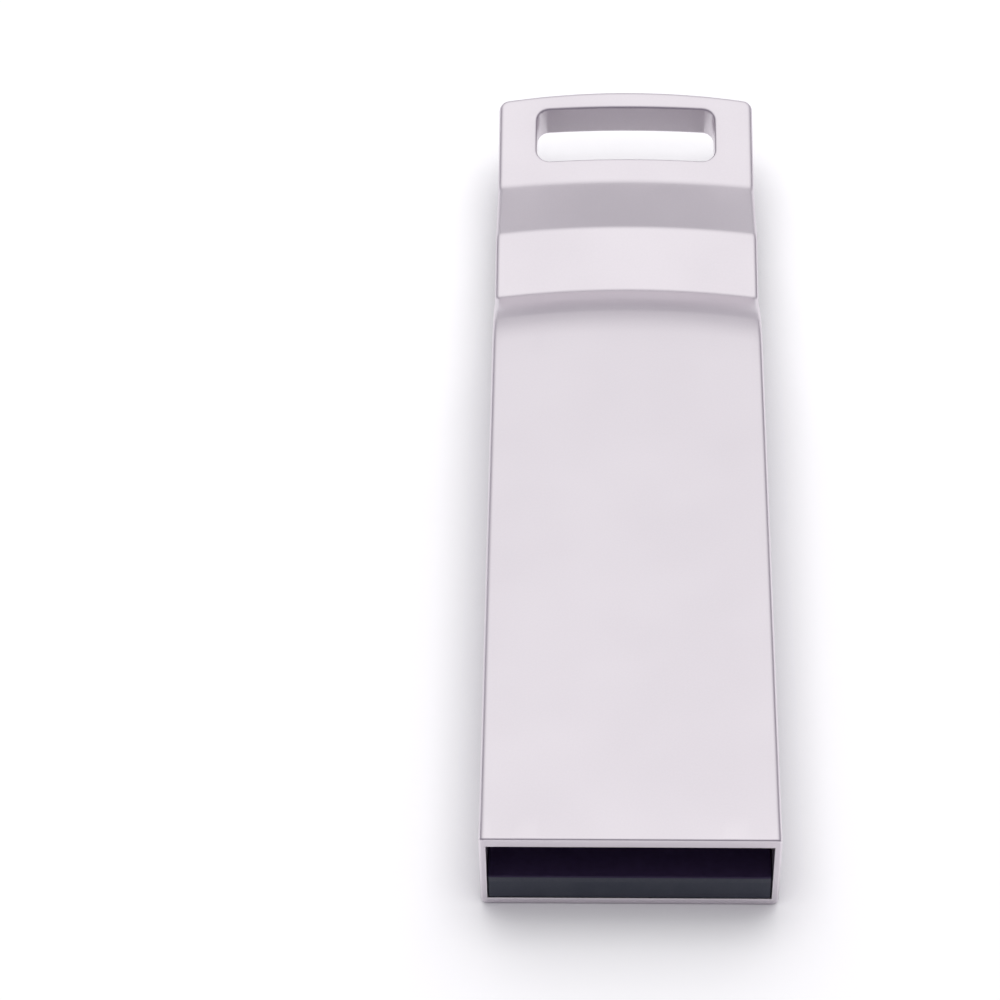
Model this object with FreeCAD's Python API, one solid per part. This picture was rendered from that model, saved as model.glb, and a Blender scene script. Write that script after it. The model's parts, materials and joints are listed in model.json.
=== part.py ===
import FreeCAD, Part

import math
import os

from FreeCAD import Vector

# A one-piece metal USB flash drive, in millimetres.
#
# The housing is a single zinc die casting. Its flat front half is the USB-A plug itself: an open
# rectangular mouth, with the memory module lying on the pocket's floor and the gap for the socket's
# tongue above it. Behind the pocket the casting thins into a waved tail, whose creases are arcs
# about one upright axis, and ends in a loop with a slot for a strap.
# The module is a moulded chip-on-board unit: a laminate with gilt contacts on its upper face, and
# dies and small parts under it, sealed in epoxy. Tape and a bead of adhesive hold it.
#
# Frame: +X across, +Y from the mouth to the loop, +Z up. The origin is the middle of the bounding
# box's bottom. Distances "from the mouth" are measured along +Y from the open end.

# ---- Housing, outside ----
BODY_WIDTH = 12.0
BODY_HEIGHT = 4.5
BODY_LENGTH = 29.05          # mouth to the shoulder
SHOULDER_RUN = 2.55          # shoulder to its foot
TERRACE_RUN = 3.25          # foot of the shoulder to the brow
RAMP_RUN = 4.1              # brow to the foot of the ramp
PLATE_RUN = 4.97            # foot of the ramp to the tip
SHOULDER_DROP = 1.68
TERRACE_RISE = 0.76
RAMP_DROP = 1.03
PLATE_RISE = 1.16
BROW_THICKNESS = 2.14
FOOT_THICKNESS = 2.03
TIP_THICKNESS = 1.52
CREASE_AXIS_LEAD = 3.5      # the creases' upright axis stands this far in front of the mouth
SHOULDER_RADIUS = 5.5
SHOULDER_FOOT_RADIUS = 0.4
BROW_RADIUS = 0.7
RAMP_FOOT_RADIUS = 1.0
BELLY_RADIUS = 1.5
TIP_ARC_RADIUS = 30.0
TIP_CORNER_RADIUS = 0.4     # larger than the two edge radii below
TOP_EDGE_RADIUS = 0.25
BOTTOM_EDGE_RADIUS = 0.3
MOUTH_EDGE_RADIUS = 0.1

# ---- Strap slot ----
SLOT_WIDTH = 8.4
SLOT_LENGTH = 2.8
TIP_RIM = 0.92              # metal left between the slot and the tip
SLOT_CORNER_RADIUS = 0.6
SLOT_EDGE_RADIUS = 0.12

# ---- Pocket ----
SIDE_WALL = 0.29
TOP_WALL = 0.55
FLOOR_WALL = 0.38
POCKET_END_WEB = 3.55        # solid metal from the pocket's end to the shoulder
POCKET_CORNER_RADIUS = 0.1

# ---- Tape and adhesive ----
TAPE_THICKNESS = 0.05
TAPE_SIDE_MARGIN = 1.1      # tape's side to the module's side
TAPE_END_MARGIN = 1.5       # tape's ends to the module's ends
GLUE_WIDTH = 7.0
GLUE_GAP = 0.65             # module's rear to the pocket's end, filled by the bead
GLUE_HEIGHT = 1.1           # against the module; half of it against the pocket's end

# ---- Module ----
MODULE_THICKNESS = 1.40
MODULE_SIDE_CLEARANCE = 0.03
MOUTH_RECESS = 0.05         # module's front behind the mouth's face
LAMINATE_THICKNESS = 0.35
MODULE_CORNER_RADIUS = 0.1
LEAD_CHAMFER = 0.05         # on the laminate's upper front edge
PAD_THICKNESS = 0.04
PAD_CORNER_RADIUS = 0.2
CONTACT_WIDTH = 1.2
POWER_CONTACT_SPREAD = 3.5  # centre plane to an outer contact
DATA_CONTACT_SPREAD = 1.0   # centre plane to an inner contact
POWER_CONTACT_SETBACK = 1.65
DATA_CONTACT_SETBACK = 2.65
CONTACT_REAR = 9.0          # rear ends of all four, from the module's front
TEST_PAD_RADIUS = 0.35
TEST_PAD_PITCH = 1.5
TEST_PAD_COLUMNS = 6
TEST_PAD_ROWS = 2
TEST_PAD_SETBACK = 2.0      # last row to the module's rear end

# ---- Dies and small parts, on the laminate's underside ----
FLASH_DIES = 4
FLASH_DIE_WIDTH = 7.2
FLASH_DIE_LENGTH = 8.0
FLASH_DIE_THICKNESS = 0.10
FLASH_STEP = 0.45           # each die lies back by this, so that its bond pads stay bare
FLASH_REAR_MARGIN = 1.0
ATTACH_FILM = 0.02
CONTROLLER_SIDE = 2.4
CONTROLLER_THICKNESS = 0.15
CONTROLLER_SETBACK = 5.6    # its middle, from the module's front
WIRE = 0.03
WIRE_LOOP = 0.09
WIRE_EDGE = 0.12            # a bond's middle inside its die's edge
WIRE_REACH = 0.45           # a bond's landing on the laminate, outside the die's edge
FLASH_WIRES = 8
FLASH_WIRE_PITCH = 0.6
CONTROLLER_WIRES = 5        # on each of its four sides
CONTROLLER_WIRE_PITCH = 0.4
CRYSTAL_LENGTH = 2.0
CRYSTAL_WIDTH = 1.6
CRYSTAL_BASE_THICKNESS = 0.36
CRYSTAL_LID_THICKNESS = 0.12
CRYSTAL_LID_INSET = 0.15
CRYSTAL_SETBACK = 2.2
CHIP_LENGTH = 1.0
CHIP_WIDTH = 0.5
CAPACITORS = 4
RESISTORS = 3
CAPACITOR_THICKNESS = 0.5
RESISTOR_THICKNESS = 0.32
CHIP_END = 0.22             # length of a chip part's metal end
CHIP_END_PROUD = 0.015
CHIP_PITCH = 0.95           # between chip parts in a column
CHIP_SIDE_MARGIN = 1.0      # module's side edge to a chip part's middle
CHIP_COLUMN_SETBACK = 1.5   # first chip part, from the module's front

# ---- Sizes that follow ----
OVERALL_LENGTH = BODY_LENGTH + SHOULDER_RUN + TERRACE_RUN + RAMP_RUN + PLATE_RUN
MOUTH_Y = -OVERALL_LENGTH / 2
TIP_Y = OVERALL_LENGTH / 2
CREASE_AXIS_Y = MOUTH_Y - CREASE_AXIS_LEAD
POCKET_WIDTH = BODY_WIDTH - 2 * SIDE_WALL
POCKET_TOP = BODY_HEIGHT - TOP_WALL
POCKET_END = MOUTH_Y + BODY_LENGTH - POCKET_END_WEB
MODULE_WIDTH = POCKET_WIDTH - 2 * MODULE_SIDE_CLEARANCE
MODULE_FRONT = MOUTH_Y + MOUTH_RECESS
MODULE_REAR = POCKET_END - GLUE_GAP
MODULE_BOTTOM = FLOOR_WALL + TAPE_THICKNESS
MODULE_TOP = MODULE_BOTTOM + MODULE_THICKNESS
LAMINATE_BOTTOM = MODULE_TOP - LAMINATE_THICKNESS
UP = Vector(0, 0, 1)
CUT_MARGIN = 1.0            # how far a cutting solid runs past what it cuts


# ---- Helpers ----
def box(x0, x1, y0, y1, z0, z1):
    """A box between two corners."""
    return Part.makeBox(x1 - x0, y1 - y0, z1 - z0, Vector(x0, y0, z0))


def centred_box(x, y, width, length, z0, z1):
    """A box about a plan position."""
    return box(x - width / 2, x + width / 2, y - length / 2, y + length / 2, z0, z1)


def fused(solids):
    """Several touching solids as one."""
    return solids[0].multiFuse(solids[1:]).removeSplitter()


def upright_edges(shape):
    """Edges along Z."""
    return [e for e in shape.Edges if abs(e.tangentAt(e.FirstParameter).z) > 0.9]


def rounded_path(knots):
    """Edges through (point, radius) knots, each inner corner rounded to its radius."""
    edges = []
    start = knots[0][0]
    for (before, _), (here, radius), (after, _) in zip(knots, knots[1:], knots[2:]):
        back = (before - here).normalize()
        ahead = (after - here).normalize()
        turn = math.pi - back.getAngle(ahead)
        reach = radius * math.tan(turn / 2)
        entry, leave = here + back * reach, here + ahead * reach
        middle = here + (back + ahead).normalize() * (radius / math.cos(turn / 2) - radius)
        edges.append(Part.makeLine(start, entry))
        edges.append(Part.Arc(entry, middle, leave).toShape())
        start = leave
    edges.append(Part.makeLine(start, knots[-1][0]))
    return edges


def rounded_plate(x0, x1, y0, y1, z0, z1, radius):
    """A flat plate with rounded upright corners."""
    plate = box(x0, x1, y0, y1, z0, z1)
    return plate.makeFillet(radius, upright_edges(plate))


def crease_arc(radius, half_width, z):
    """An arc about the creases' axis, from -X to +X."""
    reach = math.sqrt(radius ** 2 - half_width ** 2)
    left = Vector(-half_width, CREASE_AXIS_Y + reach, z)
    right = Vector(half_width, CREASE_AXIS_Y + reach, z)
    return Part.Arc(left, Vector(0, CREASE_AXIS_Y + radius, z), right).toShape()


# ---- Housing ----
def side_knots():
    """Knots of the top and of the underside in the plane X = 0, as (point, radius)."""
    shoulder = MOUTH_Y + BODY_LENGTH
    shoulder_foot = shoulder + SHOULDER_RUN
    brow = shoulder_foot + TERRACE_RUN
    ramp_foot = brow + RAMP_RUN
    shoulder_foot_z = BODY_HEIGHT - SHOULDER_DROP
    brow_z = shoulder_foot_z + TERRACE_RISE
    ramp_foot_z = brow_z - RAMP_DROP
    belly_foot_z = ramp_foot_z - FOOT_THICKNESS
    tip_under_z = ramp_foot_z + PLATE_RISE - TIP_THICKNESS
    # The plate's two faces run on past the tip, where the outline cuts them.
    past = (PLATE_RUN + CUT_MARGIN) / PLATE_RUN
    end = ramp_foot + PLATE_RUN * past
    start = CREASE_AXIS_Y + CUT_MARGIN / 2
    top = [
        (Vector(0, start, BODY_HEIGHT), 0),
        (Vector(0, shoulder, BODY_HEIGHT), SHOULDER_RADIUS),
        (Vector(0, shoulder_foot, shoulder_foot_z), SHOULDER_FOOT_RADIUS),
        (Vector(0, brow, brow_z), BROW_RADIUS),
        (Vector(0, ramp_foot, ramp_foot_z), RAMP_FOOT_RADIUS),
        (Vector(0, end, ramp_foot_z + PLATE_RISE * past), 0),
    ]
    under = [
        (Vector(0, end, belly_foot_z + (tip_under_z - belly_foot_z) * past), 0),
        (Vector(0, ramp_foot, belly_foot_z), BELLY_RADIUS),
        (Vector(0, brow, brow_z - BROW_THICKNESS), BELLY_RADIUS),
        (Vector(0, shoulder, 0), BELLY_RADIUS),
        (Vector(0, start, 0), 0),
    ]
    return top, under


def waved_slab():
    """The side view's outline turned half a turn about the creases' axis."""
    top, under = side_knots()
    edges = rounded_path(top)
    edges.append(Part.makeLine(top[-1][0], under[0][0]))
    edges += rounded_path(under)
    edges.append(Part.makeLine(under[-1][0], top[0][0]))
    face = Part.Face(Part.Wire(edges))
    axis_point = Vector(0, CREASE_AXIS_Y, 0)
    face.rotate(axis_point, UP, -90)
    return face.revolve(axis_point, UP, 180)


def plan_prism():
    """The housing seen from above, as an upright prism: straight sides and an arched tip."""
    half = BODY_WIDTH / 2
    arch = TIP_ARC_RADIUS - math.sqrt(TIP_ARC_RADIUS ** 2 - half ** 2)
    low = -CUT_MARGIN
    corners = [Vector(-half, TIP_Y - arch, low), Vector(-half, MOUTH_Y, low),
               Vector(half, MOUTH_Y, low), Vector(half, TIP_Y - arch, low)]
    edges = [Part.makeLine(a, b) for a, b in zip(corners, corners[1:])]
    edges.append(Part.Arc(corners[3], Vector(0, TIP_Y, low), corners[0]).toShape())
    prism = Part.Face(Part.Wire(edges)).extrude(UP * (BODY_HEIGHT + 2 * CUT_MARGIN))
    return prism.makeFillet(TIP_CORNER_RADIUS, [e for e in upright_edges(prism) if e.CenterOfMass.y > 0])


def strap_slot():
    """The prism that the slot removes: two arcs about the creases' axis, two straight sides."""
    low = -CUT_MARGIN
    far_radius = TIP_Y - TIP_RIM - CREASE_AXIS_Y
    far = crease_arc(far_radius, SLOT_WIDTH / 2, low)
    near = crease_arc(far_radius - SLOT_LENGTH, SLOT_WIDTH / 2, low)
    sides = [Part.makeLine(near.Vertexes[i].Point, far.Vertexes[i].Point) for i in (0, 1)]
    wire = Part.Wire(Part.__sortEdges__([far, near] + sides))
    prism = Part.Face(wire).extrude(UP * (BODY_HEIGHT + 2 * CUT_MARGIN))
    return prism.makeFillet(SLOT_CORNER_RADIUS, upright_edges(prism))


def pocket():
    """The space behind the mouth, with rounded long corners."""
    half = POCKET_WIDTH / 2
    space = box(-half, half, MOUTH_Y - CUT_MARGIN, POCKET_END, FLOOR_WALL, POCKET_TOP)
    long_edges = [e for e in space.Edges if abs(e.tangentAt(e.FirstParameter).y) > 0.9]
    return space.makeFillet(POCKET_CORNER_RADIUS, long_edges)


def rim_edges(shape, face_normal_z):
    """Edges between the upper (+1) or under (-1) faces and upright walls, mouth excepted."""
    chosen = []
    for edge in shape.Edges:
        middle = edge.valueAt((edge.FirstParameter + edge.LastParameter) / 2)
        rims = shape.ancestorsOfType(edge, Part.Face)
        tilts = [f.normalAt(*f.Surface.parameter(middle)).z for f in rims]
        if middle.y > MOUTH_Y + 0.01 and min(abs(t) for t in tilts) < 0.1:
            if max(t * face_normal_z for t in tilts) > 0.5:
                chosen.append(edge)
    return chosen


def housing():
    """The casting: waved body, rounded outline, strap slot and pocket."""
    body = waved_slab().common(plan_prism()).Solids[0]
    body = body.makeFillet(TOP_EDGE_RADIUS, rim_edges(body, 1))
    body = body.makeFillet(BOTTOM_EDGE_RADIUS, rim_edges(body, -1))
    mouth_rim = [e for e in body.Edges if e.BoundBox.YMax < MOUTH_Y + 0.01]
    body = body.makeFillet(MOUTH_EDGE_RADIUS, mouth_rim)
    body = body.cut(strap_slot()).Solids[0]
    # The outline is rounded by now, so the slot's rims are the only sharp ones left.
    slot_rim = rim_edges(body, 1) + rim_edges(body, -1)
    body = body.makeFillet(SLOT_EDGE_RADIUS, slot_rim)
    return body.cut(pocket()).Solids[0]


# ---- Module ----
def moulded_plate(z0, z1):
    """A layer of the module, its full width and length."""
    half = MODULE_WIDTH / 2
    return rounded_plate(-half, half, MODULE_FRONT, MODULE_REAR, z0, z1, MODULE_CORNER_RADIUS)


def laminate():
    """The printed board, with a lead-in on its upper front edge."""
    plate = moulded_plate(LAMINATE_BOTTOM, MODULE_TOP)
    front = [e for e in plate.Edges if e.BoundBox.YMax < MODULE_FRONT + 0.01
             and e.BoundBox.ZMin > MODULE_TOP - 0.01]
    return plate.makeChamfer(LEAD_CHAMFER, front)


def contact(x, setback):
    """A gilt contact on the laminate's upper face."""
    return rounded_plate(x - CONTACT_WIDTH / 2, x + CONTACT_WIDTH / 2, MODULE_FRONT + setback,
                         MODULE_FRONT + CONTACT_REAR, MODULE_TOP, MODULE_TOP + PAD_THICKNESS,
                         PAD_CORNER_RADIUS)


def test_pads():
    """Rows of round gilt pads near the module's rear end."""
    pads = []
    for row in range(TEST_PAD_ROWS):
        for column in range(TEST_PAD_COLUMNS):
            x = (column - (TEST_PAD_COLUMNS - 1) / 2) * TEST_PAD_PITCH
            y = MODULE_REAR - TEST_PAD_SETBACK - row * TEST_PAD_PITCH
            pads.append(Part.makeCylinder(TEST_PAD_RADIUS, PAD_THICKNESS, Vector(x, y, MODULE_TOP)))
    return Part.makeCompound(pads)


def flash_front(index):
    """Y of a memory die's front edge."""
    last_front = MODULE_REAR - FLASH_REAR_MARGIN - FLASH_DIE_LENGTH
    return last_front - (FLASH_DIES - 1 - index) * FLASH_STEP


def flash_under(index):
    """Z of a memory die's under face."""
    return LAMINATE_BOTTOM - (index + 1) * (ATTACH_FILM + FLASH_DIE_THICKNESS)


def flash_die(index):
    """One memory die of the stack."""
    under = flash_under(index)
    return centred_box(0, flash_front(index) + FLASH_DIE_LENGTH / 2, FLASH_DIE_WIDTH, FLASH_DIE_LENGTH,
                       under, under + FLASH_DIE_THICKNESS)


def controller_under():
    """Z of the controller die's under face."""
    return LAMINATE_BOTTOM - ATTACH_FILM - CONTROLLER_THICKNESS


def controller_die():
    """The controller die."""
    return centred_box(0, MODULE_FRONT + CONTROLLER_SETBACK, CONTROLLER_SIDE, CONTROLLER_SIDE,
                       controller_under(), LAMINATE_BOTTOM - ATTACH_FILM)


def attach_films():
    """The adhesive film over each die."""
    films = []
    for index in range(FLASH_DIES):
        top = flash_under(index) + FLASH_DIE_THICKNESS
        back = flash_front(max(index - 1, 0)) + FLASH_DIE_LENGTH
        front = flash_front(index)
        films.append(box(-FLASH_DIE_WIDTH / 2, FLASH_DIE_WIDTH / 2, front, back, top, top + ATTACH_FILM))
    films.append(centred_box(0, MODULE_FRONT + CONTROLLER_SETBACK, CONTROLLER_SIDE, CONTROLLER_SIDE,
                             LAMINATE_BOTTOM - ATTACH_FILM, LAMINATE_BOTTOM))
    return films


def bond(x, start_y, start_z, end_y, end_z):
    """A squared wire loop under two landings on one X."""
    low = min(start_z, end_z) - WIRE_LOOP
    near, far = min(start_y, end_y), max(start_y, end_y)
    posts = [centred_box(x, y, WIRE, WIRE, low, z) for y, z in ((start_y, start_z), (end_y, end_z))]
    beam = box(x - WIRE / 2, x + WIRE / 2, near - WIRE / 2, far + WIRE / 2, low, low + WIRE)
    return posts + [beam]


def memory_wires():
    """Wires stepping down the memory stack to the laminate."""
    wires = []
    for number in range(FLASH_WIRES):
        x = (number - (FLASH_WIRES - 1) / 2) * FLASH_WIRE_PITCH
        parts = bond(x, flash_front(0) + WIRE_EDGE, flash_under(0),
                     flash_front(0) - WIRE_REACH, LAMINATE_BOTTOM)
        for index in range(1, FLASH_DIES):
            parts += bond(x, flash_front(index) + WIRE_EDGE, flash_under(index),
                          flash_front(index - 1) + WIRE_EDGE, flash_under(index - 1))
        wires.append(fused(parts))
    return wires


def controller_wires():
    """Wires on the controller's four sides."""
    middle = Vector(0, MODULE_FRONT + CONTROLLER_SETBACK, 0)
    inside = middle.y - CONTROLLER_SIDE / 2 + WIRE_EDGE
    outside = middle.y - CONTROLLER_SIDE / 2 - WIRE_REACH
    wires = []
    for side in range(4):
        for number in range(CONTROLLER_WIRES):
            x = (number - (CONTROLLER_WIRES - 1) / 2) * CONTROLLER_WIRE_PITCH
            wire = fused(bond(x, inside, controller_under(), outside, LAMINATE_BOTTOM))
            wire.rotate(middle, UP, 90 * side)
            wires.append(wire)
    return wires


def crystal_base():
    """The oscillator's ceramic base."""
    return centred_box(0, MODULE_FRONT + CRYSTAL_SETBACK, CRYSTAL_LENGTH, CRYSTAL_WIDTH,
                       LAMINATE_BOTTOM - CRYSTAL_BASE_THICKNESS, LAMINATE_BOTTOM)


def crystal_lid():
    """The oscillator's metal lid, under its base."""
    top = LAMINATE_BOTTOM - CRYSTAL_BASE_THICKNESS
    return centred_box(0, MODULE_FRONT + CRYSTAL_SETBACK, CRYSTAL_LENGTH - 2 * CRYSTAL_LID_INSET,
                       CRYSTAL_WIDTH - 2 * CRYSTAL_LID_INSET, top - CRYSTAL_LID_THICKNESS, top)


def chip_part(side, place, thickness):
    """A chip part in the left (-1) or right (+1) column: a body and two metal ends."""
    x = side * (MODULE_WIDTH / 2 - CHIP_SIDE_MARGIN)
    y = MODULE_FRONT + CHIP_COLUMN_SETBACK + place * CHIP_PITCH
    low = LAMINATE_BOTTOM - thickness
    body = centred_box(x, y, CHIP_LENGTH - CHIP_END, CHIP_WIDTH - 2 * CHIP_END_PROUD,
                       low + CHIP_END_PROUD, LAMINATE_BOTTOM)
    reach = (CHIP_LENGTH - CHIP_END) / 2
    ends = [centred_box(x + s * reach, y, CHIP_END, CHIP_WIDTH, low, LAMINATE_BOTTOM) for s in (-1, 1)]
    return fused([body] + ends)


# ---- Tape and adhesive ----
def mounting_tape():
    """The double-sided tape between the module and the pocket's floor."""
    half = MODULE_WIDTH / 2 - TAPE_SIDE_MARGIN
    return box(-half, half, MODULE_FRONT + TAPE_END_MARGIN, MODULE_REAR - TAPE_END_MARGIN,
               FLOOR_WALL, MODULE_BOTTOM)


def retaining_glue():
    """The bead behind the module, thinning towards the pocket's end."""
    half = GLUE_WIDTH / 2
    outline = [Vector(-half, MODULE_REAR, FLOOR_WALL), Vector(-half, POCKET_END, FLOOR_WALL),
               Vector(-half, POCKET_END, FLOOR_WALL + GLUE_HEIGHT / 2),
               Vector(-half, MODULE_REAR, FLOOR_WALL + GLUE_HEIGHT)]
    face = Part.Face(Part.makePolygon(outline + [outline[0]]))
    return face.extrude(Vector(GLUE_WIDTH, 0, 0))


# ---- Assembly ----
def build():
    """Every node, by name."""
    nodes = {
        "housing": housing(),
        "mounting_tape": mounting_tape(),
        "retaining_glue": retaining_glue(),
        "module_substrate": laminate(),
        "contact_vbus": contact(POWER_CONTACT_SPREAD, POWER_CONTACT_SETBACK),
        "contact_d_minus": contact(DATA_CONTACT_SPREAD, DATA_CONTACT_SETBACK),
        "contact_d_plus": contact(-DATA_CONTACT_SPREAD, DATA_CONTACT_SETBACK),
        "contact_ground": contact(-POWER_CONTACT_SPREAD, POWER_CONTACT_SETBACK),
        "test_pads": test_pads(),
    }
    sealed = {"controller_die": controller_die(),
              "crystal_base": crystal_base(),
              "crystal_lid": crystal_lid()}
    for index in range(FLASH_DIES):
        sealed["flash_die_%d" % (index + 1)] = flash_die(index)
    for place in range(CAPACITORS):
        sealed["capacitor_%d" % (place + 1)] = chip_part(-1, place, CAPACITOR_THICKNESS)
    for place in range(RESISTORS):
        sealed["resistor_%d" % (place + 1)] = chip_part(1, place, RESISTOR_THICKNESS)
    films = attach_films()
    groups = {"die_attach_films": films,
              "memory_bond_wires": memory_wires(),
              "controller_bond_wires": controller_wires()}
    filled = list(sealed.values()) + [solid for solids in groups.values() for solid in solids]
    nodes["module_mould"] = moulded_plate(MODULE_BOTTOM, LAMINATE_BOTTOM).cut(Part.makeCompound(filled))
    nodes.update(sealed)
    nodes.update({name: Part.makeCompound(solids) for name, solids in groups.items()})
    return nodes


os.makedirs("parts", exist_ok=True)
for name, shape in build().items():
    if not shape.isValid():
        print("not valid:", name)
    shape.exportStep(os.path.join("parts", name + ".step"))
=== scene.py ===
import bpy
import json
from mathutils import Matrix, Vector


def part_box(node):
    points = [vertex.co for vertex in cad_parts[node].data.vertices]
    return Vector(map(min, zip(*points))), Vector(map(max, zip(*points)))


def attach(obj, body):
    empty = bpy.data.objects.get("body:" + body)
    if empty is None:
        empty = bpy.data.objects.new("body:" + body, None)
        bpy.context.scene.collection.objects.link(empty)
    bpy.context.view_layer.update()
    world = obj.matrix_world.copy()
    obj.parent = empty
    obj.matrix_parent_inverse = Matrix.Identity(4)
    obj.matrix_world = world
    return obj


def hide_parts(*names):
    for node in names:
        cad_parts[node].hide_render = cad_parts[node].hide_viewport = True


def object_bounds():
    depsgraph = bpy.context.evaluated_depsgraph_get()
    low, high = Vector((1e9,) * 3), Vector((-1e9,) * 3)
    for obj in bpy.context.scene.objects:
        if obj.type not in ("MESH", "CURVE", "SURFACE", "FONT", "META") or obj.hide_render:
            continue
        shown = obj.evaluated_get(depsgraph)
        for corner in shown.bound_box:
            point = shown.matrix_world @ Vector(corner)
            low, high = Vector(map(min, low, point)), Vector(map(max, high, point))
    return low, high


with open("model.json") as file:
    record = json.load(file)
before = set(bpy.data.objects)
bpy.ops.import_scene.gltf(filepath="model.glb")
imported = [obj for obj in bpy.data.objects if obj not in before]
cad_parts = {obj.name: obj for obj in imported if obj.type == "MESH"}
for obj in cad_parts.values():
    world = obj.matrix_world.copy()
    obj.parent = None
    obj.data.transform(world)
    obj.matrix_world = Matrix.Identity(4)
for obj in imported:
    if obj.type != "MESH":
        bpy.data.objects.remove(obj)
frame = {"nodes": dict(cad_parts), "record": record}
cad_box = [list(corner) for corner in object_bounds()]

import json
import math

import bmesh
import bpy
from mathutils import Matrix, Vector

# A one-piece satin metal USB flash drive. Sizes are in millimetres until a mesh is stored; +X is
# across, +Y runs from the plug's mouth to the strap loop, +Z is up.
MM = 0.001
BODY = "root"


def node_box(name):
    """A CAD node's lowest and highest corners, in millimetres."""
    return tuple(Vector(corner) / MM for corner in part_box(name))


# ---- Sizes read from the frame ----
LOWEST, HIGHEST = (Vector(corner) / MM for corner in cad_box)
HALF_WIDTH = HIGHEST.x
HEIGHT = HIGHEST.z
MOUTH_Y = LOWEST.y
TIP_Y = HIGHEST.y
MODULE_HALF_WIDTH = node_box("module_substrate")[1].x
POCKET_FLOOR = node_box("mounting_tape")[0].z
POCKET_END = node_box("retaining_glue")[1].y

# ---- Housing: the side view's knots, measured from the mouth ----
SHOULDER = 29.05
SHOULDER_FOOT = SHOULDER + 2.55
BROW = SHOULDER_FOOT + 3.25
RAMP_FOOT = BROW + 4.1
TIP = TIP_Y - MOUTH_Y
SHOULDER_FOOT_Z = HEIGHT - 1.68
BROW_Z = SHOULDER_FOOT_Z + 0.76
RAMP_FOOT_Z = BROW_Z - 1.03
TIP_Z = RAMP_FOOT_Z + 1.16
BROW_THICKNESS = 2.14
FOOT_THICKNESS = 2.03
TIP_THICKNESS = 1.52
SHOULDER_RADIUS = 5.5
SHOULDER_FOOT_RADIUS = 0.35     # this and the next two are slightly smaller than in the CAD
BROW_RADIUS = 0.6
RAMP_FOOT_RADIUS = 0.9
BELLY_RADIUS = 1.5

# ---- Housing: plan, walls and edges ----
CREASE_AXIS_LEAD = 3.5      # the creases' upright axis stands this far in front of the mouth
TIP_ARC_RADIUS = 30.0
TIP_CORNER_RADIUS = 0.4
SLOT_HALF_WIDTH = 4.2
SLOT_LENGTH = 2.8
TIP_RIM = 0.92              # metal between the slot and the tip
SLOT_FAR = TIP - TIP_RIM
SLOT_NEAR = SLOT_FAR - SLOT_LENGTH
SLOT_CORNER_RADIUS = 0.6
TOP_WALL = 0.55
MODULE_SIDE_CLEARANCE = 0.03
POCKET_TOP = HEIGHT - TOP_WALL
POCKET_HALF_WIDTH = MODULE_HALF_WIDTH + MODULE_SIDE_CLEARANCE
TOP_EDGE_RADIUS = 0.25
BOTTOM_EDGE_RADIUS = 0.3
SLOT_EDGE_RADIUS = 0.12
MOUTH_EDGE_RADIUS = 0.1
MOUTH_INNER_EDGE_RADIUS = 0.05

# ---- Housing: the grid that its mesh is built on ----
TOP_ARC_STEPS = 6
UNDER_ARC_STEPS = 5
CORNER_STEPS = 3            # grid lines across half of a slot corner's arc
STRAIGHT_UNTIL = 6.0        # rows up to here run straight across; behind it they bend into creases
CREASED_FROM = 24.0
BODY_ROWS = (1.2, 3.5, 10.0, 14.0, 18.0, 21.0, 26.0)
ROW_BEFORE_SLOT = 0.45
LEAST_ROW_GAP = 0.06
COLUMNS_TO_CORNER = 5       # column spaces from the middle to a slot corner's arc
COLUMN_BESIDE_SLOT = 0.6
COLUMN_BESIDE_EDGE = 0.55
TOUCH = 0.001               # places closer than this are one place
WELD = 0.0005
SLOT_MARGIN = 0.01
SLOT_SAG = 0.4              # more than the slot's near rim bends towards the mouth at its ends
TIP_CORNER_SEGMENTS = 6
OUTLINE_SEGMENTS = 5
SLOT_EDGE_SEGMENTS = 4
MOUTH_EDGE_SEGMENTS = 3
MOUTH_INNER_EDGE_SEGMENTS = 2
FULLY = 0.99                # parts of a face normal that lie along an axis
MOSTLY = 0.5
HARDLY = 0.1
SHARP_ANGLE = 40.0
FLAT_FACE_WEIGHT = 100


# ---- Housing mesh ----
def rounded_profile(knots, steps):
    """(y, z) points through (y, z, radius) knots, with an arc of so many steps at each inner knot."""
    points = [Vector(knots[0][:2])]
    for before, here, after in zip(knots, knots[1:], knots[2:]):
        corner = Vector(here[:2])
        back = (Vector(before[:2]) - corner).normalized()
        ahead = (Vector(after[:2]) - corner).normalized()
        turn = math.pi - back.angle(ahead)
        bisector = (back + ahead).normalized()
        centre = corner + bisector * (here[2] / math.cos(turn / 2))
        entry = corner + back * here[2] * math.tan(turn / 2) - centre
        way = 1 if back.x * ahead.y - back.y * ahead.x < 0 else -1
        for step in range(steps + 1):
            angle = way * turn * step / steps
            points.append(centre + Matrix.Rotation(angle, 2) @ entry)
    points.append(Vector(knots[-1][:2]))
    return points


def height_at(points, y):
    """Linear interpolation along a profile."""
    for a, b in zip(points, points[1:]):
        if y <= b.x:
            return a.y + (b.y - a.y) * (y - a.x) / (b.x - a.x)
    return points[-1].y


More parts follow.
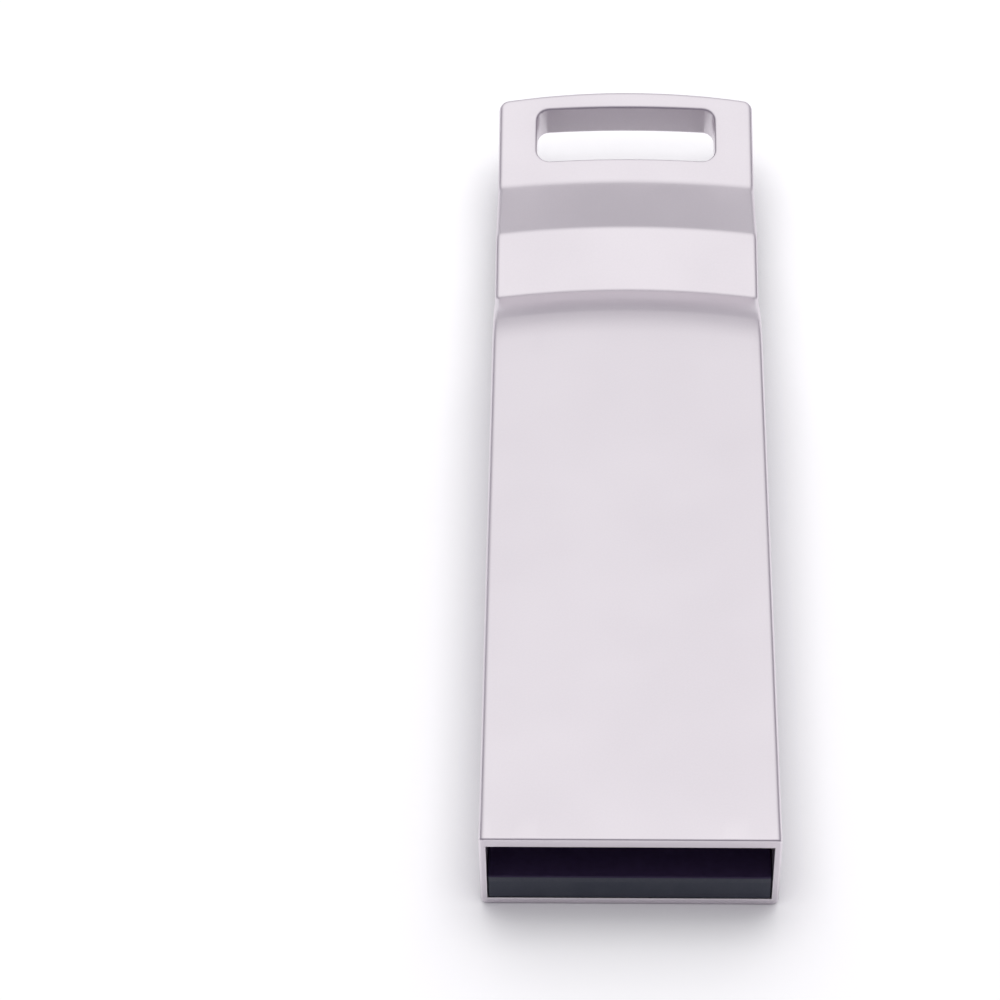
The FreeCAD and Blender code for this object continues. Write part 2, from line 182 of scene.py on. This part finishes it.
TOP_PROFILE = rounded_profile([
    (-CREASE_AXIS_LEAD, HEIGHT, 0), (SHOULDER, HEIGHT, SHOULDER_RADIUS),
    (SHOULDER_FOOT, SHOULDER_FOOT_Z, SHOULDER_FOOT_RADIUS), (BROW, BROW_Z, BROW_RADIUS),
    (RAMP_FOOT, RAMP_FOOT_Z, RAMP_FOOT_RADIUS), (TIP, TIP_Z, 0)], TOP_ARC_STEPS)
UNDER_PROFILE = rounded_profile([
    (-CREASE_AXIS_LEAD, 0, 0), (SHOULDER, 0, BELLY_RADIUS), (BROW, BROW_Z - BROW_THICKNESS, BELLY_RADIUS),
    (RAMP_FOOT, RAMP_FOOT_Z - FOOT_THICKNESS, BELLY_RADIUS), (TIP, TIP_Z - TIP_THICKNESS, 0)],
    UNDER_ARC_STEPS)


def along_crease(x, y):
    """The distance from the mouth, at X = 0, of the crease arc through a plan position."""
    return math.hypot(x, y + CREASE_AXIS_LEAD) - CREASE_AXIS_LEAD


def crease_y(x, station):
    """Where the crease arc of a station crosses a column."""
    return math.sqrt((station + CREASE_AXIS_LEAD) ** 2 - x * x) - CREASE_AXIS_LEAD


def tip_y(x):
    """The tip's outline."""
    return TIP - TIP_ARC_RADIUS + math.sqrt(TIP_ARC_RADIUS ** 2 - x * x)


def corner_lines():
    """Grid lines across a slot corner, measured from where its arc begins."""
    return [SLOT_CORNER_RADIUS * step / CORNER_STEPS for step in range(CORNER_STEPS + 1)]


def row_stations():
    """Distances from the mouth of the grid's rows."""
    rows = [0, *BODY_ROWS, STRAIGHT_UNTIL, CREASED_FROM, SLOT_NEAR - ROW_BEFORE_SLOT, TIP]
    rows += [SLOT_NEAR + line for line in corner_lines()] + [SLOT_FAR - line for line in corner_lines()]
    rows.append((SLOT_NEAR + SLOT_FAR) / 2)
    bends = [point.x for profile in (TOP_PROFILE, UNDER_PROFILE) for point in profile[1:-1]]
    for y in bends:
        if min(abs(y - row) for row in rows) > LEAST_ROW_GAP:
            rows.append(y)
    return sorted(rows)


def column_places():
    """X of the grid's columns."""
    inner = SLOT_HALF_WIDTH - SLOT_CORNER_RADIUS
    right = [inner * part / COLUMNS_TO_CORNER for part in range(1, COLUMNS_TO_CORNER)]
    right += [inner + line for line in corner_lines()]
    right += [SLOT_HALF_WIDTH + COLUMN_BESIDE_SLOT, HALF_WIDTH - COLUMN_BESIDE_EDGE, HALF_WIDTH]
    return [-x for x in reversed(right)] + [0.0] + right


def plan_place(x, station):
    """Plan position of a grid point before the slot's corners are rounded."""
    if station <= STRAIGHT_UNTIL:
        return x, station
    if station > SLOT_FAR + TOUCH:
        return x, tip_y(x)
    blend = min(1, (station - STRAIGHT_UNTIL) / (CREASED_FROM - STRAIGHT_UNTIL))
    return x, station + (crease_y(x, station) - station) * blend


def slot_corner(x, station):
    """A slot rim's grid point moved onto the arc of the corner that it is near."""
    side = 1 if x > 0 else -1
    end = -1 if station < (SLOT_NEAR + SLOT_FAR) / 2 else 1
    radius = SLOT_CORNER_RADIUS
    centre_x = SLOT_HALF_WIDTH - radius
    rim = SLOT_NEAR if end < 0 else SLOT_FAR
    centre_y = crease_y(centre_x, rim) - end * radius
    across = (abs(x) - centre_x) / radius
    along = (radius - abs(station - rim)) / radius
    if across <= 0 or along <= 0:
        return plan_place(x, station)
    half_corner = math.radians(45)
    angle = half_corner * across if along > across else 2 * half_corner - half_corner * along
    return side * (centre_x + radius * math.sin(angle)), centre_y + end * radius * math.cos(angle)


def housing_grid(bm):
    """Upper and under skins, side walls, tip wall and slot walls."""
    rows, columns = row_stations(), column_places()
    in_slot_row = [SLOT_NEAR - TOUCH <= station <= SLOT_FAR + TOUCH for station in rows]
    in_slot_column = [abs(x) <= SLOT_HALF_WIDTH + TOUCH for x in columns]
    near, far = in_slot_row.index(True), len(rows) - 1 - in_slot_row[::-1].index(True)
    left, right = in_slot_column.index(True), len(columns) - 1 - in_slot_column[::-1].index(True)
    skins = []
    for profile in (TOP_PROFILE, UNDER_PROFILE):
        skin = {}
        for i, station in enumerate(rows):
            for j, column in enumerate(columns):
                if near < i < far and left < j < right:
                    continue
                on_rim = near <= i <= far and left <= j <= right
                x, y = slot_corner(column, station) if on_rim else plan_place(column, station)
                skin[i, j] = bm.verts.new((x, y + MOUTH_Y, height_at(profile, along_crease(x, y))))
        for i in range(len(rows) - 1):
            for j in range(len(columns) - 1):
                if not (near <= i < far and left <= j < right):
                    bm.faces.new((skin[i, j], skin[i, j + 1], skin[i + 1, j + 1], skin[i + 1, j]))
        skins.append(skin)
    last_row, last_column = len(rows) - 1, len(columns) - 1
    outline = [(i, 0) for i in range(last_row + 1)] + [(last_row, j) for j in range(1, last_column + 1)]
    outline += [(i, last_column) for i in range(last_row - 1, -1, -1)]
    rim = [(i, left) for i in range(near, far)] + [(far, j) for j in range(left, right)]
    rim += [(i, right) for i in range(far, near, -1)] + [(near, j) for j in range(right, left - 1, -1)]
    top, under = skins
    for loop in (outline, rim):
        for a, b in zip(loop, loop[1:]):
            bm.faces.new((top[a], top[b], under[b], under[a]))
    mouth = ([top[0, j] for j in range(last_column + 1)], [under[0, j] for j in range(last_column + 1)])
    tip_corners = [(top[last_row, j], under[last_row, j]) for j in (0, last_column)]
    return mouth, tip_corners


def pocket_grid(bm, mouth):
    """The mouth's face, and the pocket's walls and end."""
    levels = (POCKET_TOP, POCKET_FLOOR)
    rings = []
    for y in (MOUTH_Y, POCKET_END):
        rings.append([[bm.verts.new((v.co.x * POCKET_HALF_WIDTH / HALF_WIDTH, y, z)) for v in row]
                      for row, z in zip(mouth, levels)])
    front, back = rings
    last = len(mouth[0]) - 1
    for level in (0, 1):
        for j in range(last):
            bm.faces.new((mouth[level][j], mouth[level][j + 1], front[level][j + 1], front[level][j]))
            bm.faces.new((front[level][j], front[level][j + 1], back[level][j + 1], back[level][j]))
    for j in (0, last):
        bm.faces.new((mouth[0][j], mouth[1][j], front[1][j], front[0][j]))
        bm.faces.new((front[0][j], front[1][j], back[1][j], back[0][j]))
    for j in range(last):
        bm.faces.new((back[0][j], back[0][j + 1], back[1][j + 1], back[1][j]))


def bevel(bm, edges, radius, segments):
    """Rounds edges."""
    bmesh.ops.bevel(bm, geom=edges, offset=radius, offset_type="OFFSET", segments=segments, profile=0.5,
                    affect="EDGES", clamp_overlap=False)


def rim_edges(bm, wanted):
    """Edges between a face of one kind and a face of another: wanted(normal, other normal, middle)."""
    bm.normal_update()
    found = []
    for edge in bm.edges:
        if len(edge.link_faces) == 2:
            a, b = (face.normal for face in edge.link_faces)
            middle = (edge.verts[0].co + edge.verts[1].co) / 2
            if wanted(a, b, middle) or wanted(b, a, middle):
                found.append(edge)
    return found


def in_slot(middle):
    """Whether a point is on the slot's wall."""
    station = middle.y - MOUTH_Y
    along = SLOT_NEAR - SLOT_SAG < station < SLOT_FAR + SLOT_MARGIN
    return along and abs(middle.x) < SLOT_HALF_WIDTH + SLOT_MARGIN


def behind_mouth(middle):
    """Whether a point is behind the mouth's face."""
    return middle.y > MOUTH_Y + TOUCH


def at_pocket(middle):
    """Whether a point, seen from the front, is within the pocket or on its edge."""
    across = abs(middle.x) <= POCKET_HALF_WIDTH + TOUCH
    return across and POCKET_FLOOR - TOUCH <= middle.z <= POCKET_TOP + TOUCH


def on_outline(middle):
    """Whether a point is on the outer side walls, the tip's wall or the corners between them."""
    return behind_mouth(middle) and not in_slot(middle) and (
        abs(middle.x) > HALF_WIDTH - TOUCH or middle.y > MOUTH_Y + RAMP_FOOT)


def top_outline(a, b, middle):
    """Edges between the upper skin and the outer walls."""
    return a.z > MOSTLY and abs(b.z) < HARDLY and on_outline(middle)


def under_outline(a, b, middle):
    """Edges between the under skin and the outer walls."""
    return a.z < -MOSTLY and abs(b.z) < HARDLY and on_outline(middle)


def slot_rims(a, b, middle):
    """Edges between either skin and the slot's walls."""
    return abs(a.z) > MOSTLY and abs(b.z) < HARDLY and in_slot(middle)


def mouth_outer_edge(a, b, middle):
    """Edges round the outside of the mouth's face."""
    return a.y < -FULLY and b.y > -MOSTLY and not behind_mouth(middle) and not at_pocket(middle)


def mouth_inner_edge(a, b, middle):
    """Edges between the mouth's face and the pocket."""
    return a.y < -FULLY and b.y > -MOSTLY and not behind_mouth(middle) and at_pocket(middle)


ROUNDED_EDGES = (
    (top_outline, TOP_EDGE_RADIUS, OUTLINE_SEGMENTS),
    (under_outline, BOTTOM_EDGE_RADIUS, OUTLINE_SEGMENTS),
    (slot_rims, SLOT_EDGE_RADIUS, SLOT_EDGE_SEGMENTS),
    (mouth_outer_edge, MOUTH_EDGE_RADIUS, MOUTH_EDGE_SEGMENTS),
    (mouth_inner_edge, MOUTH_INNER_EDGE_RADIUS, MOUTH_INNER_EDGE_SEGMENTS),
)


def build_housing():
    """The casting as one mesh, with its outer edges, tip corners, slot rims and mouth edges rounded."""
    bm = bmesh.new()
    mouth, tip_corners = housing_grid(bm)
    pocket_grid(bm, mouth)
    bmesh.ops.recalc_face_normals(bm, faces=bm.faces)
    corner_edges = [edge for top, under in tip_corners
                    for edge in top.link_edges if edge.other_vert(top) is under]
    bevel(bm, corner_edges, TIP_CORNER_RADIUS, TIP_CORNER_SEGMENTS)
    for wanted, radius, segments in ROUNDED_EDGES:
        bevel(bm, rim_edges(bm, wanted), radius, segments)
    bmesh.ops.remove_doubles(bm, verts=bm.verts, dist=WELD)
    bmesh.ops.scale(bm, vec=(MM, MM, MM), verts=bm.verts)
    return mesh_object("housing_skin", bm)


def mesh_object(name, bm):
    """Stores a bmesh as a smooth object with weighted normals."""
    mesh = bpy.data.meshes.new(name)
    bm.to_mesh(mesh)
    bm.free()
    mesh.shade_smooth()
    mesh.set_sharp_from_angle(angle=math.radians(SHARP_ANGLE))
    piece = bpy.data.objects.new(name, mesh)
    bpy.context.scene.collection.objects.link(piece)
    weighted = piece.modifiers.new("weighted normals", "WEIGHTED_NORMAL")
    weighted.keep_sharp = True
    weighted.weight = FLAT_FACE_WEIGHT
    return piece


# ---- Materials: colours are linear, sizes in millimetres ----
METAL_DARK = (0.745, 0.705, 0.742)
METAL_LIGHT = (0.772, 0.730, 0.768)
METAL_GRAIN = (0.71, 0.67, 0.705)
GROUND_FACE_ROUGHNESS = 0.62        # the mouth's end face is ground and left matt
SLATE_DARK = (0.014, 0.020, 0.040)
SLATE_LIGHT = (0.022, 0.028, 0.050)
MASK_DARK = (0.026, 0.014, 0.054)
MASK_LIGHT = (0.032, 0.018, 0.064)
GOLD_DARK = (0.83, 0.60, 0.24)
GOLD_LIGHT = (0.88, 0.68, 0.33)
NOISE_LOW, NOISE_HIGH = 0.35, 0.65  # where most of a noise texture's values lie
MIX_FACTOR, MIX_FIRST, MIX_SECOND, MIX_RESULT = 0, 6, 7, 2  # a Mix node's sockets for colours

# Pieces that are sealed inside or seldom seen: slot, darker and lighter colour, size of the patches,
# lowest and highest roughness, metallic.
PLAIN_FINISHES = (
    ("tape", (0.75, 0.74, 0.70), (0.82, 0.81, 0.78), 0.3, 0.55, 0.70, 0.0),
    ("adhesive", (0.55, 0.45, 0.26), (0.66, 0.56, 0.34), 0.8, 0.20, 0.35, 0.0),
    ("silicon", (0.22, 0.22, 0.25), (0.30, 0.30, 0.34), 0.6, 0.12, 0.20, 0.8),
    ("white_ceramic", (0.72, 0.70, 0.64), (0.80, 0.78, 0.73), 0.1, 0.45, 0.60, 0.0),
    ("lid_metal", (0.55, 0.54, 0.52), (0.64, 0.63, 0.61), 0.2, 0.25, 0.38, 1.0),
    ("tan_ceramic", (0.42, 0.30, 0.18), (0.52, 0.39, 0.25), 0.1, 0.45, 0.60, 0.0),
    ("dark_ceramic", (0.03, 0.03, 0.035), (0.06, 0.06, 0.07), 0.1, 0.40, 0.55, 0.0),
)
PLAIN_RELIEF = 0.05                 # a patch's depth as a part of its size


class Nodes:
    """The node tree of a material or a world, built up call by call."""

    def __init__(self, owner):
        owner.use_nodes = True
        self.owner = owner
        self.tree = owner.node_tree
        self.coordinates = self.add("ShaderNodeTexCoord").outputs

    def add(self, kind, **settings):
        """A node with properties and input values set."""
        node = self.tree.nodes.new(kind)
        for key, value in settings.items():
            if key in node.inputs:
                self.feed(node.inputs[key], value)
            else:
                setattr(node, key, value)
        return node

    def feed(self, socket, value):
        """Links an output to a socket, or sets its value."""
        if isinstance(value, bpy.types.NodeSocket):
            self.tree.links.new(value, socket)
        else:
            socket.default_value = value

    def number(self, operation, *values):
        """The result of a Math node."""
        node = self.add("ShaderNodeMath", operation=operation)
        for socket, value in zip(node.inputs, values):
            self.feed(socket, value)
        return node.outputs[0]

    def noise(self, size, detail=2.0, stretch=(1, 1, 1)):
        """Noise whose features are about so many millimetres across, stretched by axis."""
        mapping = self.add("ShaderNodeMapping", Vector=self.coordinates["Object"])
        mapping.inputs["Scale"].default_value = [1 / (size * MM * s) for s in stretch]
        noise = self.add("ShaderNodeTexNoise", Scale=1.0, Detail=detail)
        self.tree.links.new(mapping.outputs["Vector"], noise.inputs["Vector"])
        return noise.outputs["Fac"]

    def spread(self, value, low, high, start=NOISE_LOW, end=NOISE_HIGH):
        """Maps the range from start to end onto the range from low to high."""
        node = self.add("ShaderNodeMapRange")
        for socket, number in zip(node.inputs, (value, start, end, low, high)):
            self.feed(socket, number)
        return node.outputs["Result"]

    def mix(self, amount, first, second):
        """Mixes two colours."""
        node = self.add("ShaderNodeMix", data_type="RGBA")
        self.feed(node.inputs[MIX_FACTOR], amount)
        for index, colour in ((MIX_FIRST, first), (MIX_SECOND, second)):
            self.feed(node.inputs[index], (*colour, 1) if isinstance(colour, tuple) else colour)
        return node.outputs[MIX_RESULT]

    def facing(self, axis):
        """How far the flat face looks along an axis, from -1 to 1."""
        normal = self.add("ShaderNodeNewGeometry").outputs["True Normal"]
        return self.add("ShaderNodeSeparateXYZ", Vector=normal).outputs[axis]

    def bump(self, height, strength, depth):
        """A bump of so many millimetres."""
        node = self.add("ShaderNodeBump", Height=height, Strength=strength, Distance=depth * MM)
        return node.outputs["Normal"]

    def finish(self, **values):
        """Sets the Principled shader's inputs, with underscores for spaces, and returns the material."""
        shader = self.tree.nodes["Principled BSDF"]
        for key, value in values.items():
            if isinstance(value, tuple):
                value = (*value, 1)
            self.feed(shader.inputs[key.replace("_", " ")], value)
        return self.owner


def new_material(name):
    """An empty material's node tree."""
    return Nodes(bpy.data.materials.new(name))


def satin_metal():
    """Plated zinc with a very fine blasted grain, smoother on its worn edges, and faint unevenness."""
    n = new_material("satin_metal")
    grain = n.noise(size=0.09, detail=3.0)
    cloud = n.noise(size=5.0)
    pointiness = n.add("ShaderNodeNewGeometry").outputs["Pointiness"]
    worn = n.spread(pointiness, low=0.0, high=1.0, start=0.53, end=0.60)
    colour = n.mix(cloud, METAL_DARK, METAL_LIGHT)
    colour = n.mix(n.spread(grain, low=0.0, high=0.25), colour, METAL_GRAIN)
    smoothed_by_wear = -0.06
    plated = n.number("MULTIPLY_ADD", worn, smoothed_by_wear, n.spread(cloud, low=0.34, high=0.40))
    ground = n.spread(n.facing("Y"), low=GROUND_FACE_ROUGHNESS, high=0.0, start=-0.99, end=-0.90)
    return n.finish(Base_Color=colour, Metallic=1.0, Roughness=n.number("MAXIMUM", plated, ground),
                    Normal=n.bump(grain, strength=0.10, depth=0.01))


def slate_colour(n, speckle):
    """The colour of the moulding compound and of the board's cut edge."""
    return n.mix(n.spread(speckle, low=0.0, high=1.0), SLATE_DARK, SLATE_LIGHT)


def moulded_epoxy():
    """Dark slate moulding compound with fine filler speckle."""
    n = new_material("moulded_epoxy")
    speckle = n.noise(size=0.05, detail=4.0)
    roughness = n.spread(n.noise(size=1.5), low=0.50, high=0.60)
    return n.finish(Base_Color=slate_colour(n, speckle), Roughness=roughness,
                    Normal=n.bump(speckle, strength=0.15, depth=0.01))


def solder_mask():
    """Near-black solder mask above, and the board's slate cut edge round it."""
    n = new_material("solder_mask")
    weave = n.noise(size=0.25, stretch=(1.0, 0.4, 1.0))
    looks_up = n.spread(n.facing("Z"), low=0.0, high=1.0, start=0.4, end=0.6)
    edge = slate_colour(n, n.noise(size=0.05, detail=4.0))
    mask = n.mix(n.spread(weave, low=0.0, high=1.0), MASK_DARK, MASK_LIGHT)
    return n.finish(Base_Color=n.mix(looks_up, edge, mask), Roughness=n.spread(weave, low=0.42, high=0.50),
                    Normal=n.bump(weave, strength=0.08, depth=0.01))


def gilt():
    """Gold plate with fine lengthwise scratches."""
    n = new_material("gilt")
    scratch = n.noise(size=0.06, detail=3.0, stretch=(1.0, 14.0, 1.0))
    colour = n.mix(n.noise(size=1.2), GOLD_DARK, GOLD_LIGHT)
    return n.finish(Base_Color=colour, Metallic=1.0, Roughness=n.spread(scratch, low=0.18, high=0.32),
                    Normal=n.bump(scratch, strength=0.10, depth=0.004))


def plain_finish(name, darker, lighter, size, low_rough, high_rough, metallic):
    """A plain mottled material."""
    n = new_material(name)
    patch = n.noise(size, detail=3.0)
    colour = n.mix(n.spread(patch, low=0.0, high=1.0), darker, lighter)
    return n.finish(Base_Color=colour, Metallic=metallic, Roughness=n.spread(patch, low_rough, high_rough),
                    Normal=n.bump(patch, strength=0.1, depth=size * PLAIN_RELIEF))


def materials_by_slot():
    """One material for each material slot of the record."""
    by_slot = {
        "satin_metal": satin_metal(),
        "epoxy": moulded_epoxy(),
        "laminate": solder_mask(),
        "gilt": gilt(),
    }
    for name, *look in PLAIN_FINISHES:
        by_slot[name] = plain_finish(name, *look)
    return by_slot


# ---- Stage, light and camera: angles in degrees, azimuth 0 in front of the mouth ----
FLOOR_HALF = 1500.0
FLOOR_DROP = 0.01
FLOOR_COLOUR = (0.80, 0.80, 0.81)
FLOOR_ROUGHNESS = 0.9
FLOOR_GLOW = 0.30           # what the lamps leave the floor short of white
CONTACT_SHADOW = 2.5        # how far round the object the painted contact shadow darkens the floor's glow
SHADOW_CORE = 0.35          # the share of open space at which the painted contact shadow has taken all of the floor's glow
OCCLUSION_SAMPLES = 8
DOME_LEAN = 20.0            # the dome is brightest so many degrees behind overhead
DOME_EDGE = 0.35            # cosine, from the brightest point, at which the dome is darkest
DOME_DARK = (0.195, 0.172, 0.222)
DOME_BRIGHT = (1.22, 1.215, 1.225)
FILL_AZIMUTH = 180.0
FILL_ELEVATION = 58.0
FILL_DISTANCE = 600.0
FILL_WIDTH = 700.0
FILL_HEIGHT = 600.0
FILL_RADIANCE = 1.05
CAMERA_AIM = Vector((-5.55, -2.46, 2.25))
CAMERA_AZIMUTH = 2.35
CAMERA_ELEVATION = 49.51
CAMERA_ROLL = 1.65
CAMERA_DISTANCE = 153.0
CAMERA_LENS = 126.6
CAMERA_CLIP_START = 10.0


def direction(azimuth, elevation):
    """The unit vector from the object towards an azimuth and elevation."""
    a, e = math.radians(azimuth), math.radians(elevation)
    return Vector((math.sin(a) * math.cos(e), -math.cos(a) * math.cos(e), math.sin(e)))


def add_floor():
    """A pale floor that shows white to the eye and keeps the object's soft shadow, with a painted contact
    shadow that darkens its glow round the object.
    """
    mesh = bpy.data.meshes.new("floor")
    s, z = FLOOR_HALF * MM, -FLOOR_DROP * MM
    mesh.from_pydata([(-s, -s, z), (s, -s, z), (s, s, z), (-s, s, z)], [], [(0, 1, 2, 3)])
    floor = bpy.data.objects.new("floor", mesh)
    bpy.context.scene.collection.objects.link(floor)
    n = new_material("floor")
    path = n.add("ShaderNodeLightPath").outputs
    seen = n.number("MAXIMUM", path["Is Camera Ray"], path["Is Glossy Ray"])
    seen = n.number("MAXIMUM", seen, path["Is Transmission Ray"])
    # Painted contact shadow: ambient occlusion dims the floor's glow near the object, also where the metal
    # reflects the floor.
    occlusion = n.add("ShaderNodeAmbientOcclusion", samples=OCCLUSION_SAMPLES, Distance=CONTACT_SHADOW * MM)
    glow_with_painted_shadow = n.spread(occlusion.outputs["AO"], low=0.0, high=FLOOR_GLOW, start=SHADOW_CORE, end=1.0)
    n.finish(Base_Color=FLOOR_COLOUR, Roughness=FLOOR_ROUGHNESS, Specular_IOR_Level=0.0,
             Emission_Color=(1.0, 1.0, 1.0), Emission_Strength=n.number("MULTIPLY", seen, glow_with_painted_shadow))
    mesh.materials.append(n.owner)


def add_fill_lamp():
    """A large soft lamp above and behind the object, left out of reflections."""
    away = direction(FILL_AZIMUTH, FILL_ELEVATION)
    data = bpy.data.lights.new("fill", "AREA")
    data.shape = "RECTANGLE"
    data.size, data.size_y = FILL_WIDTH * MM, FILL_HEIGHT * MM
    data.energy = FILL_RADIANCE * math.pi * data.size * data.size_y
    lamp = bpy.data.objects.new("fill", data)
    lamp.visible_glossy = False
    turned = away.to_track_quat("Z", "Y").to_matrix().to_4x4()
    lamp.matrix_world = Matrix.Translation(away * FILL_DISTANCE * MM) @ turned
    bpy.context.scene.collection.objects.link(lamp)


def add_world():
    """A studio dome: bright overhead and a little behind the object, and dark towards the camera's side."""
    world = bpy.data.worlds.new("studio")
    bpy.context.scene.world = world
    n = Nodes(world)
    lean = math.radians(DOME_LEAN)
    nearness = n.add("ShaderNodeVectorMath", operation="DOT_PRODUCT")
    n.feed(nearness.inputs[0], n.coordinates["Generated"])
    n.feed(nearness.inputs[1], (0.0, math.sin(lean), math.cos(lean)))
    brightness = n.spread(nearness.outputs["Value"], low=0.0, high=1.0, start=DOME_EDGE, end=1.0)
    n.feed(n.tree.nodes["Background"].inputs["Color"], n.mix(brightness, DOME_DARK, DOME_BRIGHT))


def add_camera():
    """A camera at the photograph's viewing angle."""
    forward = -direction(CAMERA_AZIMUTH, CAMERA_ELEVATION)
    level = forward.cross(Vector((0, 0, 1))).normalized()
    roll = math.radians(CAMERA_ROLL)
    right = level * math.cos(roll) - level.cross(forward) * math.sin(roll)
    up = right.cross(forward)
    data = bpy.data.cameras.new("camera")
    data.lens = CAMERA_LENS
    data.clip_start = CAMERA_CLIP_START * MM
    camera = bpy.data.objects.new("camera", data)
    basis = Matrix((right, up, -forward)).transposed().to_4x4()
    camera.matrix_world = Matrix.Translation((CAMERA_AIM - forward * CAMERA_DISTANCE) * MM) @ basis
    bpy.context.scene.collection.objects.link(camera)
    bpy.context.scene.camera = camera


# ---- Scene ----
finishes = materials_by_slot()
for entry in frame["record"]["subparts"]:
    node = frame["nodes"][entry["node"]]
    node.data.materials.clear()
    node.data.materials.append(finishes[entry["material_slot"]])

housing = build_housing()
housing.data.materials.append(finishes["satin_metal"])
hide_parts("housing")
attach(housing, BODY)

add_floor()
add_fill_lamp()
add_world()
add_camera()
bpy.context.scene.view_settings.view_transform = "Standard"
